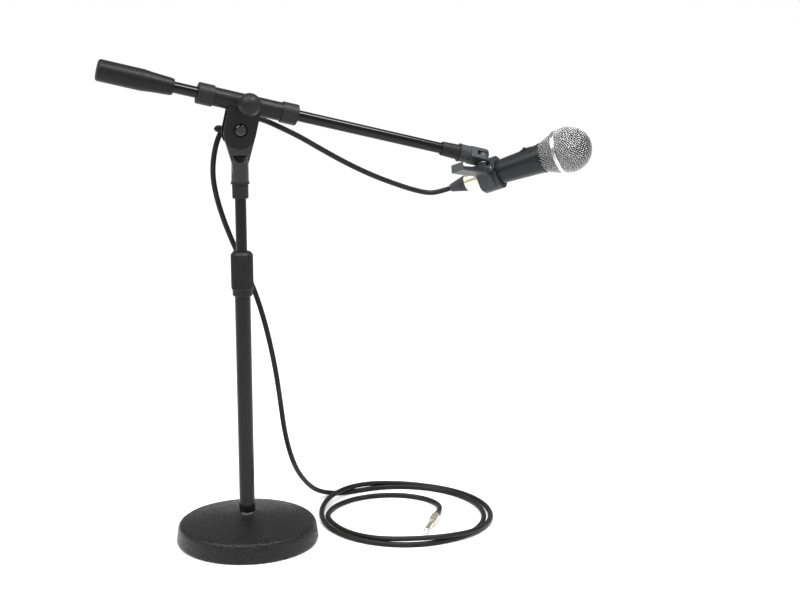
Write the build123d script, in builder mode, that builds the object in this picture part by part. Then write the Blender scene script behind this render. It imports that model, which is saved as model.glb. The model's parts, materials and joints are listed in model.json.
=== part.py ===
from build123d import *

import os
from math import cos, pi, radians, sin, sqrt, tan

# Short boom stand with a round weighted base, a handheld microphone in a spring clip, and its cable.

os.makedirs("parts", exist_ok=True)

# ---- driving dimensions, in millimetres and degrees ----
BASE_R = 82.5  # weighted base, outside radius
BASE_TOP = 23.5  # height of its rim
FOOT_LIFT = 2.0  # how far the feet hold the casting off the floor
LOWER_R = 9.0  # lower column tube, outside radius
UPPER_R = 6.35  # upper column tube and boom tube, outside radius
WALL = 1.2  # wall of every tube
LOWER_BOTTOM = 35.4
LOWER_TOP = 312.0
UPPER_BOTTOM = 114.1
CLUTCH_BOTTOM = 297.5
CLUTCH_TOP = 341.7
CLUTCH_R = 12.7
COLLAR_Z = 402.0
PIVOT_Z = 478.0  # boom tilt axis
BOOM_TILT = 13.45  # the boom's front end hangs this far below level
BOOM_RISE = 30.0  # boom axis above the tilt axis
TANG_HALF = 4.0  # half the thickness of the tilt tang
CHEEK_IN = 5.5
CHEEK_OUT = 9.5
CHEEK_R = 18.0  # half the width of the bracket's cheeks
CHEEK_DROP = 21.0  # and how far they reach below the tilt axis
TBAR_R = 10.5
TBAR_ENDS = (-54.0, 60.5)
TBAR_SEAMS = (-36.0, 42.0)
FORK_PIVOT = 288.5  # clip hinge, along the boom from the tilt axis
MIC_ELEVATION = 19.3
MIC_AZIMUTH = -39.8
JAW_ROLL = 23.3  # the clip's jaws are turned this far about the microphone from its hinge
MIC_BELOW = 17.0  # microphone axis from the clip hinge, across the jaws
MIC_BEYOND = 24.0  # and along them
CABLE_D = 6.2
COIL_LIFT = 14.0  # height of the coiled cable
RUN = 0.05  # radial clearance of a running fit
GAP = 0.3  # clearance between pieces that move apart


def direction(azimuth, elevation):
    a, e = radians(azimuth), radians(elevation)
    return Vector(cos(e) * cos(a), cos(e) * sin(a), sin(e))


def outline(side, points):
    """A face with straight edges through the points, on the plane called side."""
    with BuildSketch(side) as flat:
        with BuildLine():
            Polyline(*points, close=True)
        make_face()
    return flat.sketch


def ring(inner, outer, low, high):
    """Half section of a plain bush: (radius, height) corners."""
    return [(inner, low), (outer, low), (outer, high), (inner, high)]


def finish(part, name):
    part.label = name
    export_step(part, f"parts/{name}.step")


# ---- directions and work planes ----
boom_dir = direction(0, -BOOM_TILT)
boom_up = Vector(sin(radians(BOOM_TILT)), 0, cos(radians(BOOM_TILT)))
pivot = Vector(0, 0, PIVOT_Z)
clamp_side = Plane(pivot, x_dir=boom_dir, z_dir=(0, -1, 0))  # x along the boom, y up from it
boom_foot = pivot + boom_up * BOOM_RISE
boom_side = Plane(boom_foot, x_dir=boom_up, z_dir=(0, 1, 0))  # x is a radius, y along the boom
boom_axis = Axis(boom_foot, boom_dir)
clip_pivot = boom_foot + boom_dir * FORK_PIVOT
mic_dir = direction(MIC_AZIMUTH, MIC_ELEVATION)
hinge_dir = boom_dir.cross(mic_dir).normalized()
across = mic_dir.cross(hinge_dir)
jaw_down = hinge_dir * cos(radians(JAW_ROLL)) + across * sin(radians(JAW_ROLL))
jaw_out = hinge_dir * sin(radians(JAW_ROLL)) - across * cos(radians(JAW_ROLL))
mic_zero = clip_pivot + jaw_down * MIC_BELOW - jaw_out * MIC_BEYOND
jaw_face = Plane(mic_zero, x_dir=jaw_out, z_dir=mic_dir)  # x along the jaws, y down through them
mic_side = Plane(mic_zero, x_dir=jaw_out, z_dir=jaw_out.cross(mic_dir))  # x is a radius
mic_axis = Axis(mic_zero, mic_dir)
fork_face = Plane(clip_pivot, x_dir=boom_dir, z_dir=hinge_dir)  # x along the boom


# ---- base ----
RECESS_R = 20.0  # counterbore under the base, for the stud's nut
BASE_CEILING = 10.0
STUD_R = 6.0
STUD_TOP = 54.0  # the raised inner tube's bush stops 1 mm above it
FOOT_R = 5.5
FOOT_PITCH_R = 74.0

with BuildPart() as base_casting:
    revolve(
        outline(
            Plane.XZ,
            [
                (STUD_R, BASE_CEILING),
                (RECESS_R, BASE_CEILING),
                (RECESS_R, FOOT_LIFT),
                (BASE_R - 1.2, FOOT_LIFT),
                (BASE_R, FOOT_LIFT + 1.2),
                (BASE_R - 2.0, BASE_TOP - 5.0),
                (BASE_R - 3.4, BASE_TOP - 2.0),
                (BASE_R - 6.2, BASE_TOP),
                (52.0, 27.3),
                (24.0, 30.4),
                (15.0, 31.6),
                (STUD_R, 31.6),
            ],
        ),
        axis=Axis.Z,
    )
    with BuildSketch(Plane.XY.offset(FOOT_LIFT)):
        with PolarLocations(FOOT_PITCH_R, 5, start_angle=-67):
            Circle(FOOT_R)
    extrude(amount=1.2, mode=Mode.SUBTRACT)
finish(base_casting.part, "base_casting")

with BuildPart() as base_feet:
    with BuildSketch(Plane.XY):
        with PolarLocations(FOOT_PITCH_R, 5, start_angle=-67):
            Circle(FOOT_R)
    extrude(amount=FOOT_LIFT + 1.2)
finish(base_feet.part, "base_feet")

with BuildPart() as base_stud:
    revolve(outline(Plane.XZ, ring(0, STUD_R, 2.6, STUD_TOP)), axis=Axis.Z)
finish(base_stud.part, "base_stud")

with BuildPart() as base_nut:
    with BuildSketch(Plane.XY.offset(2.8)):
        RegularPolygon(10.5, 6)
    extrude(amount=5.2)
    with BuildSketch(Plane.XY.offset(8)):
        Circle(17)
    extrude(amount=BASE_CEILING - 8)
    with BuildSketch(Plane.XY):
        Circle(STUD_R)
    extrude(amount=BASE_CEILING, mode=Mode.SUBTRACT)
finish(base_nut.part, "base_nut")

# ---- column ----
lower_bore = LOWER_R - WALL
upper_bore = UPPER_R - WALL

with BuildPart() as lower_tube:
    revolve(
        outline(
            Plane.XZ,
            [
                (lower_bore, LOWER_BOTTOM),
                (LOWER_R - 0.2, LOWER_BOTTOM),
                (LOWER_R + 0.4, LOWER_BOTTOM + 1),
                (LOWER_R + 0.4, LOWER_BOTTOM + 12),
                (LOWER_R, LOWER_BOTTOM + 14),
                (LOWER_R, LOWER_TOP),
                (lower_bore, LOWER_TOP),
            ],
        ),
        axis=Axis.Z,
    )
finish(lower_tube.part, "lower_tube")

with BuildPart() as column_insert:
    revolve(outline(Plane.XZ, ring(STUD_R, lower_bore, LOWER_BOTTOM + 0.5, STUD_TOP)), axis=Axis.Z)
finish(column_insert.part, "column_insert")

CORE_R = 11.0
with BuildPart() as clutch_core:
    revolve(
        outline(
            Plane.XZ,
            [
                (LOWER_R, 291),
                (CORE_R - 0.8, 291),
                (CORE_R + 0.4, 292),
                (CORE_R + 0.4, CLUTCH_BOTTOM - GAP),
                (CORE_R, CLUTCH_BOTTOM - GAP),
                (CORE_R, LOWER_TOP),
                (LOWER_R, LOWER_TOP),
            ],
        ),
        axis=Axis.Z,
    )
finish(clutch_core.part, "clutch_core")

with BuildPart() as clutch_collet:
    revolve(
        outline(
            Plane.XZ,
            [
                (UPPER_R + RUN, LOWER_TOP),
                (CORE_R - 0.6, LOWER_TOP),
                (CORE_R - 0.6, LOWER_TOP + 12),
                (UPPER_R + 1.8, CLUTCH_TOP - 5),
                (UPPER_R + RUN, CLUTCH_TOP - 5),
            ],
        ),
        axis=Axis.Z,
    )
    with BuildSketch(Plane.XY.offset(LOWER_TOP + 5)):
        with PolarLocations(0, 3):
            Rectangle(30, 1.2, align=(Align.MIN, Align.CENTER))
    extrude(amount=40, mode=Mode.SUBTRACT)
finish(clutch_collet.part, "clutch_collet")

RIBS = 24
with BuildPart() as clutch_sleeve:
    revolve(
        outline(
            Plane.XZ,
            [
                (CORE_R + GAP, CLUTCH_BOTTOM),
                (CLUTCH_R - 1.3, CLUTCH_BOTTOM),
                (CLUTCH_R - 0.1, CLUTCH_BOTTOM + 2.4),
                (CLUTCH_R - 0.5, CLUTCH_BOTTOM + 4),
                (CLUTCH_R - 0.5, CLUTCH_TOP - 4),
                (CLUTCH_R - 0.1, CLUTCH_TOP - 3),
                (CLUTCH_R - 2.6, CLUTCH_TOP),
                (UPPER_R + GAP, CLUTCH_TOP),
                (UPPER_R + GAP, CLUTCH_TOP - 3.4),
                (UPPER_R + 2.6, CLUTCH_TOP - 3.4),
                (CORE_R + GAP, LOWER_TOP + 13),
            ],
        ),
        axis=Axis.Z,
    )
    with BuildSketch(Plane.XY.offset(CLUTCH_BOTTOM + 4)):
        with PolarLocations(CLUTCH_R - 0.55, RIBS):
            Rectangle(1.0, 1.5)
    extrude(amount=CLUTCH_TOP - CLUTCH_BOTTOM - 8)
finish(clutch_sleeve.part, "clutch_sleeve")

with BuildPart() as column_bush:
    revolve(
        outline(
            Plane.XZ,
            [
                (0, UPPER_BOTTOM - 14),
                (lower_bore - RUN, UPPER_BOTTOM - 14),
                (lower_bore - RUN, UPPER_BOTTOM - 0.1),
                (upper_bore - RUN, UPPER_BOTTOM - 0.1),
                (upper_bore - RUN, UPPER_BOTTOM + 12),
                (0, UPPER_BOTTOM + 12),
            ],
        ),
        axis=Axis.Z,
    )
finish(column_bush.part, "column_bush")

SOCKET_FLOOR = 436.0
with BuildPart() as upper_tube:
    revolve(outline(Plane.XZ, ring(upper_bore, UPPER_R, UPPER_BOTTOM, SOCKET_FLOOR)), axis=Axis.Z)
finish(upper_tube.part, "upper_tube")

with BuildPart() as column_collar:
    revolve(
        outline(
            Plane.XZ,
            [
                (UPPER_R, COLLAR_Z),
                (8.5, COLLAR_Z),
                (9.15, COLLAR_Z + 0.8),
                (9.15, COLLAR_Z + 16),
                (UPPER_R, COLLAR_Z + 16),
            ],
        ),
        axis=Axis.Z,
    )
finish(column_collar.part, "column_collar")

with BuildPart() as collar_lip:
    revolve(outline(Plane.XZ, ring(UPPER_R, 10.5, COLLAR_Z + 16, COLLAR_Z + 19)), axis=Axis.Z)
finish(collar_lip.part, "collar_lip")

SWIVEL_R = 10.0
FACET = (442.0, 450.0)  # heights between which the neck is cut down to the tang
TANG_R = 16.5
BOLT_R = 3.0
with BuildPart() as swivel_head:
    low, high = FACET
    revolve(outline(Plane.XZ, ring(0, SWIVEL_R, COLLAR_Z + 19, high)), axis=Axis.Z)
    for side in (-1, 1):
        slope = [(side * SWIVEL_R, low), (side * TANG_HALF, high), (side * TANG_HALF, high + 9)]
        extrude(
            outline(Plane.YZ, slope + [(side * 2 * SWIVEL_R, high + 9), (side * 2 * SWIVEL_R, low)]),
            amount=2 * SWIVEL_R,
            both=True,
            mode=Mode.SUBTRACT,
        )
    with BuildSketch(Plane.XZ) as tang:
        with BuildLine():
            left = Line((-9, low - 2), (-TANG_R, PIVOT_Z - 12))
            flank = Line(left @ 1, (-TANG_R, PIVOT_Z))
            top = ThreePointArc(flank @ 1, (0, PIVOT_Z + TANG_R), (TANG_R, PIVOT_Z))
            right = Line(top @ 1, (TANG_R, PIVOT_Z - 12))
            slant = Line(right @ 1, (9, low - 2))
            Line(slant @ 1, left @ 0)
        make_face()
    extrude(amount=TANG_HALF, both=True)
    socket = outline(Plane.XZ, ring(0, UPPER_R, COLLAR_Z + 18, SOCKET_FLOOR))
    revolve(socket, axis=Axis.Z, mode=Mode.SUBTRACT)
    with BuildSketch(Plane.XZ):
        with Locations((0, PIVOT_Z)):
            Circle(BOLT_R + RUN)
    extrude(amount=20, both=True, mode=Mode.SUBTRACT)
finish(swivel_head.part, "swivel_head")

# ---- boom clamp ----
KNOB_SCREW_R = 3.0
BOSS_R = 7.5
BOSS_END = 15.0
with BuildPart() as clamp_bracket:
    with BuildSketch(clamp_side):
        with BuildLine():
            rise = Line((-CHEEK_R, 24), (-CHEEK_R, -3))
            under = ThreePointArc(rise @ 1, (0, -CHEEK_DROP), (CHEEK_R, -3))
            fall = Line(under @ 1, (CHEEK_R, 24))
            Line(fall @ 1, rise @ 0)
        make_face()
    extrude(amount=CHEEK_OUT, both=True)
    with BuildSketch(clamp_side):
        Rectangle(4 * CHEEK_R, 2 * CHEEK_DROP + 3)
    extrude(amount=CHEEK_IN, both=True, mode=Mode.SUBTRACT)
    with BuildSketch(clamp_side):
        with Locations((0, 20.3)):
            Rectangle(2 * CHEEK_R, 3.6)
    extrude(amount=CHEEK_OUT, both=True)
    revolve(outline(boom_side, ring(0, TBAR_R, -40, 40)), axis=boom_axis, mode=Mode.SUBTRACT)
    with BuildSketch(clamp_side):
        with Locations((0, BOOM_RISE)):
            Circle(BOSS_R)
    extrude(amount=BOSS_END, mode=Mode.SUBTRACT)
    with BuildSketch(clamp_side.offset(CHEEK_OUT)):
        Circle(8)
    extrude(amount=-1.5, mode=Mode.SUBTRACT)
    with BuildSketch(clamp_side):
        Circle(BOLT_R)
    extrude(amount=20, both=True, mode=Mode.SUBTRACT)
finish(clamp_bracket.part, "clamp_bracket")

with BuildPart() as tbar_tube:
    revolve(outline(boom_side, ring(0, TBAR_R, TBAR_SEAMS[0], TBAR_SEAMS[1])), axis=boom_axis)
    with BuildSketch(clamp_side):
        with Locations((0, BOOM_RISE)):
            Circle(BOSS_R)
    extrude(amount=BOSS_END)
    revolve(outline(boom_side, ring(0, UPPER_R + 0.7, -90, 90)), axis=boom_axis, mode=Mode.SUBTRACT)
    with BuildSketch(clamp_side):
        with Locations((0, BOOM_RISE)):
            Circle(KNOB_SCREW_R + RUN)
    extrude(amount=30, mode=Mode.SUBTRACT)
finish(tbar_tube.part, "tbar_tube")

BUSH_R = 12.0
BUSH_EDGE = 0.8


def boom_bush(seam, end):
    """Half section of a bush of the T-bar, from its seam to its bevelled outer end."""
    bevel = BUSH_EDGE if seam > end else -BUSH_EDGE
    bore = UPPER_R + RUN
    return [(bore, seam), (BUSH_R, seam), (BUSH_R, end + bevel), (BUSH_R - BUSH_EDGE, end), (bore, end)]


with BuildPart() as boom_bush_rear:
    revolve(outline(boom_side, boom_bush(TBAR_SEAMS[0], TBAR_ENDS[0])), axis=boom_axis)
finish(boom_bush_rear.part, "boom_bush_rear")

with BuildPart() as boom_bush_front:
    revolve(outline(boom_side, boom_bush(TBAR_SEAMS[1], TBAR_ENDS[1])), axis=boom_axis)
finish(boom_bush_front.part, "boom_bush_front")

disc_width = CHEEK_IN - TANG_HALF - 0.2
with BuildPart() as friction_discs:
    with BuildSketch(clamp_side.offset(TANG_HALF + 0.2), clamp_side.offset(-CHEEK_IN)):
        Circle(16)
        Circle(BOLT_R, mode=Mode.SUBTRACT)
    extrude(amount=disc_width)
finish(friction_discs.part, "friction_discs")

WING_FACE = 11.0
WING_END = 33.0
WING_HUB_R = 5.2
WING_DEPTH = 10.5
with BuildPart() as pivot_bolt:
    with BuildSketch(clamp_side.offset(CHEEK_OUT - 1.5)):
        Circle(BOLT_R)
    extrude(amount=-(CHEEK_OUT - 1.5 + WING_END - 4))
    with BuildSketch(clamp_side.offset(CHEEK_OUT - 1.5)):
        Circle(6.4)
    extrude(amount=3.6)
    fillet(pivot_bolt.faces().filter_by(Axis.Y).sort_by(Axis.Y)[0].edges(), radius=2.4)
finish(pivot_bolt.part, "pivot_bolt")

WING_SPAN = 24.0
with BuildPart() as wing_nut:
    with BuildSketch(clamp_side.offset(-WING_FACE)):
        Circle(WING_HUB_R)
    extrude(amount=-(WING_END - WING_FACE))
    with BuildSketch(clamp_side.offset(-(WING_END - WING_DEPTH))):
        SlotOverall(2 * WING_SPAN, 8.5, rotation=BOOM_TILT)
    extrude(amount=-WING_DEPTH)
    with BuildSketch(clamp_side):
        Circle(BOLT_R + RUN)
    extrude(amount=-(WING_END - 3), mode=Mode.SUBTRACT)
finish(wing_nut.part, "wing_nut")

KNOB_R = 12.6
KNOB_OUT = 29.0
knob_centre = boom_foot + Vector(0, -KNOB_OUT, 0)
with BuildPart() as clamp_knob:
    with Locations(knob_centre):
        Sphere(KNOB_R)
    with BuildSketch(clamp_side.offset(BOSS_END + GAP)):
        with Locations((0, BOOM_RISE)):
            Circle(8.2)
    extrude(amount=8)
    with BuildSketch(clamp_side):
        with Locations((0, BOOM_RISE)):
            Circle(KNOB_SCREW_R)
    extrude(amount=KNOB_OUT, mode=Mode.SUBTRACT)
finish(clamp_knob.part, "clamp_knob")

with BuildPart() as clamp_screw:
    with BuildSketch(clamp_side.offset(UPPER_R + GAP)):
        with Locations((0, BOOM_RISE)):
            Circle(KNOB_SCREW_R)
    extrude(amount=KNOB_OUT - UPPER_R - GAP)
finish(clamp_screw.part, "clamp_screw")

# ---- boom ----
GRIP_ENDS = (-163.5, -82.0)
GRIP_R = 12.0
FERRULE_ENDS = (236.0, 257.6)
with BuildPart() as boom_tube:
    start, end = GRIP_ENDS[0] + 10, FERRULE_ENDS[1] - 7
    revolve(outline(boom_side, ring(upper_bore, UPPER_R, start, end)), axis=boom_axis)
finish(boom_tube.part, "boom_tube")

with BuildPart() as boom_grip:
    start, end = GRIP_ENDS
    revolve(
        outline(
            boom_side,
            [
                (0, start),
                (GRIP_R - 2.2, start),
                (GRIP_R - 0.6, start + 0.9),
                (GRIP_R, start + 2.8),
                (GRIP_R, -114.5),
                (GRIP_R - 1.1, -104),
                (GRIP_R - 2.5, end),
                (GRIP_R - 3.2, end),
                (GRIP_R - 3.2, end + 1.6),
                (UPPER_R, end + 1.6),
                (UPPER_R, start + 10),
                (0, start + 10),
            ],
        ),
        axis=boom_axis,
    )
finish(boom_grip.part, "boom_grip")

FERRULE_R = 8.2
THREAD_R = 5.4
with BuildPart() as boom_ferrule:
    start, end = FERRULE_ENDS
    revolve(
        outline(
            boom_side,
            [
                (0, end - 7),
                (UPPER_R, end - 7),
                (UPPER_R, start),
                (FERRULE_R - 0.5, start),
                (FERRULE_R, start + 1),
                (FERRULE_R + 0.6, end - 3.5),
                (FERRULE_R + 0.6, end),
                (THREAD_R, end),
                (THREAD_R, end + 11),
                (0, end + 11),
            ],
        ),
        axis=boom_axis,
    )
finish(boom_ferrule.part, "boom_ferrule")

# ---- clip fork ----
BARREL_R = 10.2
BARREL_ENDS = (FERRULE_ENDS[1] + GAP, 271.0)
EAR_R = 8.2
EAR_IN = 3.1  # inner face of each ear from the middle of the fork
EAR_OUT = 7.4
with BuildPart() as fork_barrel:
    start, end = BARREL_ENDS
    revolve(
        outline(
            boom_side,
            [
                (THREAD_R + 1.6, start),
                (BARREL_R + 0.5, start),
                (BARREL_R + 0.5, start + 2),
                (BARREL_R, start + 2.4),
                (BARREL_R, end - 1),
                (BARREL_R - 1, end + 0.4),
                (THREAD_R + 1.6, end + 0.4),
            ],
        ),
        axis=boom_axis,
    )
    with BuildSketch(fork_face.offset(-EAR_OUT)):
        with BuildLine():
            back = end - FORK_PIVOT
            shank = Line((back, EAR_R), (0, EAR_R))
            nose = ThreePointArc(shank @ 1, (EAR_R, 0), (0, -EAR_R))
            heel = Line(nose @ 1, (back, -EAR_R))
            Line(heel @ 1, shank @ 0)
        make_face()
    extrude(amount=2 * EAR_OUT)
    with BuildSketch(fork_face.offset(-EAR_IN)):
        with Locations((EAR_R, 0)):
            Rectangle(2 * EAR_R + 18, 3 * EAR_R)
    extrude(amount=2 * EAR_IN, mode=Mode.SUBTRACT)
    with BuildSketch(fork_face):
        Circle(2.0)
    extrude(amount=20, both=True, mode=Mode.SUBTRACT)
finish(fork_barrel.part, "fork_barrel")

with BuildPart() as fork_insert:
    start, end = BARREL_ENDS
    revolve(outline(boom_side, ring(THREAD_R + RUN, THREAD_R + 1.6, start, end)), axis=boom_axis)
finish(fork_insert.part, "fork_insert")

with BuildPart() as hinge_screw:
    with BuildSketch(fork_face.offset(-EAR_OUT - 4)):
        Circle(2.0)
    extrude(amount=2 * EAR_OUT + 4)
    with BuildSketch(fork_face.offset(EAR_OUT)):
        Circle(4.4)
    extrude(amount=2.0)
    with BuildSketch(fork_face.offset(EAR_OUT + 0.9)):
        Rectangle(1.0, 10)
    extrude(amount=2, mode=Mode.SUBTRACT)
finish(hinge_screw.part, "hinge_screw")

with BuildPart() as hinge_nut:
    with BuildSketch(fork_face.offset(-EAR_OUT - 3.2)):
        RegularPolygon(4.3, 6)
        Circle(2.0, mode=Mode.SUBTRACT)
    extrude(amount=3.2)
finish(hinge_nut.part, "hinge_nut")

# ---- spring clip: profiles in the jaw plane, microphone axis at (0, 0) ----
CLIP_T = (-14.0, 9.0)  # the clip's two faces, along the microphone
CLIP_WIDTH = CLIP_T[1] - CLIP_T[0]
clip_face = jaw_face.offset(CLIP_T[0])
lug_face = Plane(clip_pivot, x_dir=across, z_dir=hinge_dir)
JAW_R = 15.9  # inside of the jaws, where their pads sit
PAD = 1.3
PIN_AT = (27.0, -1.0)  # spring hinge
PIN_R = 1.5
KNUCKLE_R = 4.0
KNUCKLE = 4.0  # width of each of the fixed jaw's two knuckles
LUG_HALF = EAR_IN - 0.2


def band(side, inner, outer, first, last):
    """A ring sector about the microphone axis, between two angles in degrees."""
    with BuildSketch(side) as sector:
        with BuildLine():
            low = CenterArc((0, 0), inner, first, last - first)
            high = CenterArc((0, 0), outer, first, last - first)
            Line(low @ 0, high @ 0)
            Line(low @ 1, high @ 1)
        make_face()
    return sector.sketch


with BuildPart() as clip_jaw_fixed:
    extrude(band(clip_face, JAW_R, JAW_R + 4, -148, -10), amount=CLIP_WIDTH)
    web = [(15.8, -2.9), (19.0, -4.9), (PIN_AT[0], PIN_AT[1] - KNUCKLE_R), (24.0, 1.5)]
    for face in (clip_face, clip_face.offset(CLIP_WIDTH - KNUCKLE)):
        extrude(outline(face, web), amount=KNUCKLE)
        with BuildSketch(face):
            with Locations(PIN_AT):
                Circle(KNUCKLE_R)
        extrude(amount=KNUCKLE)
    with BuildSketch(lug_face.offset(-LUG_HALF)):
        Circle(7.4)
        with BuildLine():
            Polyline((0, -7.4), (11, -11), (11, 4), (0, 7.4), close=True)
        make_face()
    extrude(amount=2 * LUG_HALF)
    with BuildSketch(clip_face):
        Circle(JAW_R)
    extrude(amount=CLIP_WIDTH, mode=Mode.SUBTRACT)
    with BuildSketch(clip_face):
        with Locations(PIN_AT):
            Circle(PIN_R)
    extrude(amount=CLIP_WIDTH, mode=Mode.SUBTRACT)
    with BuildSketch(fork_face):
        Circle(2.0 + RUN)
    extrude(amount=20, both=True, mode=Mode.SUBTRACT)
finish(clip_jaw_fixed.part, "clip_jaw_fixed")

LEVER = [
    (104.0, 11.0),
    (100.5, 1.0),
    (46.0, -5.2),
    (36.0, -7.0),
    (30.0, -6.4),
    (24.0, -4.6),
    (21.0, -2.6),
    (16.4, -0.6),
    (16.2, 4.0),
    (20.0, 8.0),
    (32.0, 5.0),
]
WEDGE = [(32.0, 5.0), (9.8, 18.8), (12.9, 11.6), (16.4, 4.0), (24.0, 1.5)]
TROUGH = [(100.0, 8.4), (36.0, 3.0), (38.0, -10.0), (98.2, -10.0)]
LEVER_IN = KNUCKLE + GAP  # the lever is this much narrower than the jaws, on each side
LEVER_WALL = 2.0
notch_end = PIN_AT[0] + KNUCKLE_R + GAP
NOTCH = [(15.0, -10.0), (notch_end, -10.0), (notch_end, PIN_AT[1]), (24.0, 1.9), (15.0, -2.9)]
lever_face = clip_face.offset(LEVER_IN)
lever_width = CLIP_WIDTH - 2 * LEVER_IN
with BuildPart() as clip_jaw_moving:
    extrude(outline(clip_face, WEDGE), amount=CLIP_WIDTH - LEVER_IN)
    flare = [(34.0, CLIP_T[0] - 1), (34.0, CLIP_T[0] + LEVER_IN + 0.3), (12.0, CLIP_T[0] - 1)]
    jaw_plan = Plane(mic_zero, x_dir=jaw_out, z_dir=-jaw_down)  # x along the jaws, y along the microphone
    extrude(outline(jaw_plan, flare), amount=-30, mode=Mode.SUBTRACT)
    extrude(band(clip_face, JAW_R, JAW_R + 3.6, 2, 150), amount=CLIP_WIDTH)
    extrude(outline(lever_face, LEVER), amount=lever_width)
    trough_face = lever_face.offset(LEVER_WALL)
    extrude(outline(trough_face, TROUGH), amount=lever_width, mode=Mode.SUBTRACT)
    for face in (clip_face, clip_face.offset(CLIP_WIDTH - KNUCKLE - GAP)):
        extrude(outline(face, NOTCH), amount=KNUCKLE + GAP, mode=Mode.SUBTRACT)
        with BuildSketch(face):
            with Locations(PIN_AT):
                Circle(KNUCKLE_R + GAP)
        extrude(amount=KNUCKLE + GAP, mode=Mode.SUBTRACT)
    with BuildSketch(clip_face):
        with Locations(PIN_AT):
            Circle(PIN_R + RUN)
    extrude(amount=CLIP_WIDTH, mode=Mode.SUBTRACT)
finish(clip_jaw_moving.part, "clip_jaw_moving")

with BuildPart() as pad_fixed:
    extrude(band(clip_face, JAW_R - PAD, JAW_R, -140, -40), amount=CLIP_WIDTH)
finish(pad_fixed.part, "pad_fixed")

with BuildPart() as pad_moving:
    extrude(band(clip_face, JAW_R - PAD, JAW_R, 30, 140), amount=CLIP_WIDTH)
finish(pad_moving.part, "pad_moving")

with BuildPart() as clip_pin:
    with BuildSketch(clip_face.offset(-0.6)):
        with Locations(PIN_AT):
            Circle(PIN_R)
    extrude(amount=CLIP_WIDTH + 1.2)
finish(clip_pin.part, "clip_pin")

# ---- microphone: (radius, distance along its axis) ----
REAR_T = -15.0
COLLAR_T = 62.5
BAND_T = 84.0
BALL_T = 97.5
BALL_R = 27.0
BAND_R = 25.4
with BuildPart() as mic_handle:
    revolve(
        outline(
            mic_side,
            [
                (11.2, REAR_T),
                (12.6, REAR_T),
                (13.2, REAR_T + 0.8),
                (13.9, 4.0),
                (17.0, COLLAR_T - 4),
                (17.2, COLLAR_T - 0.6),
                (16.6, COLLAR_T),
                (13.0, COLLAR_T),
                (13.0, COLLAR_T - 10),
                (11.2, REAR_T + 16),
            ],
        ),
        axis=mic_axis,
    )
finish(mic_handle.part, "mic_handle")

with BuildPart() as grille_collar:
    revolve(
        outline(
            mic_side,
            [
                (11.8, COLLAR_T - 8),
                (13.0, COLLAR_T - 8),
                (13.0, COLLAR_T),
                (17.4, COLLAR_T),
                (17.9, COLLAR_T + 0.8),
                (17.9, COLLAR_T + 2.8),
                (11.8, COLLAR_T + 2.8),
            ],
        ),
        axis=mic_axis,
    )
finish(grille_collar.part, "grille_collar")

MESH = 1.2
with BuildPart() as grille_cone:
    low, high = COLLAR_T + 2.8, BAND_T
    narrow, wide = 17.4, BAND_R - 0.6
    revolve(
        outline(mic_side, [(narrow - MESH, low), (narrow, low), (wide, high), (wide - MESH, high)]),
        axis=mic_axis,
    )
finish(grille_cone.part, "grille_cone")

BAND_WIDTH = 4.6
with BuildPart() as grille_band:
    low, high = BAND_T, BAND_T + BAND_WIDTH
    revolve(
        outline(
            mic_side,
            [
                (BAND_R - 2, low),
                (BAND_R - 0.3, low),
                (BAND_R + 0.3, low + 0.7),
                (BAND_R + 0.3, low + 1.6),
                (BAND_R - 0.2, low + 2.3),
                (BAND_R + 0.3, low + 3.0),
                (BAND_R + 0.3, low + 3.9),
                (BAND_R - 0.3, high),
                (BAND_R - 2, high),
            ],
        ),
        axis=mic_axis,
    )
finish(grille_band.part, "grille_band")

dome_start = BAND_T + BAND_WIDTH - BALL_T  # from the ball's centre, so it is negative


def cap(radius, start, end):
    """Half section of a ball from one height to another about its centre, closed on the axis."""
    edge = (sqrt(radius**2 - start**2), start + BALL_T)
    with BuildSketch(mic_side) as section:
        with BuildLine():
            floor = Line((0, start + BALL_T), edge)
            crown = RadiusArc(floor @ 1, (0, radius + BALL_T), end)
            Line(crown @ 1, floor @ 0)
        make_face()
    return section.sketch


with BuildPart() as grille_dome:
    revolve(cap(BALL_R, dome_start, -BALL_R), axis=mic_axis)
    revolve(cap(BALL_R - MESH, dome_start, -(BALL_R - MESH)), axis=mic_axis, mode=Mode.SUBTRACT)
finish(grille_dome.part, "grille_dome")

FOAM = 3.0
CAPSULE_R = 11.5
CAPSULE_T = (66.0, 92.0)
foam_r = BALL_R - MESH
with BuildPart() as foam_liner:
    revolve(cap(foam_r, dome_start, -foam_r), axis=mic_axis)
    revolve(cap(foam_r - FOAM, dome_start, -(foam_r - FOAM)), axis=mic_axis, mode=Mode.SUBTRACT)
finish(foam_liner.part, "foam_liner")

with BuildPart() as capsule:
    low, high = CAPSULE_T
    edge = CAPSULE_R - 2
    revolve(
        outline(mic_side, [(0, low), (CAPSULE_R, low), (CAPSULE_R, high - 2), (edge, high), (0, high)]),
        axis=mic_axis,
    )
finish(capsule.part, "capsule")

MOUNT_T = 48.0
with BuildPart() as shock_mount:
    revolve(
        outline(
            mic_side,
            [(0, MOUNT_T), (11.6, MOUNT_T), (11.6, COLLAR_T + 2.8), (9.6, CAPSULE_T[0]), (0, CAPSULE_T[0])],
        ),
        axis=mic_axis,
    )
finish(shock_mount.part, "shock_mount")

INSERT_T = (REAR_T + 1.0, REAR_T + 13.0)
with BuildPart() as xlr_socket:
    revolve(outline(mic_side, ring(0, 11.2, INSERT_T[1] - 4, INSERT_T[1])), axis=mic_axis)
    revolve(outline(mic_side, ring(9.9, 11.2, INSERT_T[0], INSERT_T[1] - 4)), axis=mic_axis)
finish(xlr_socket.part, "xlr_socket")

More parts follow.
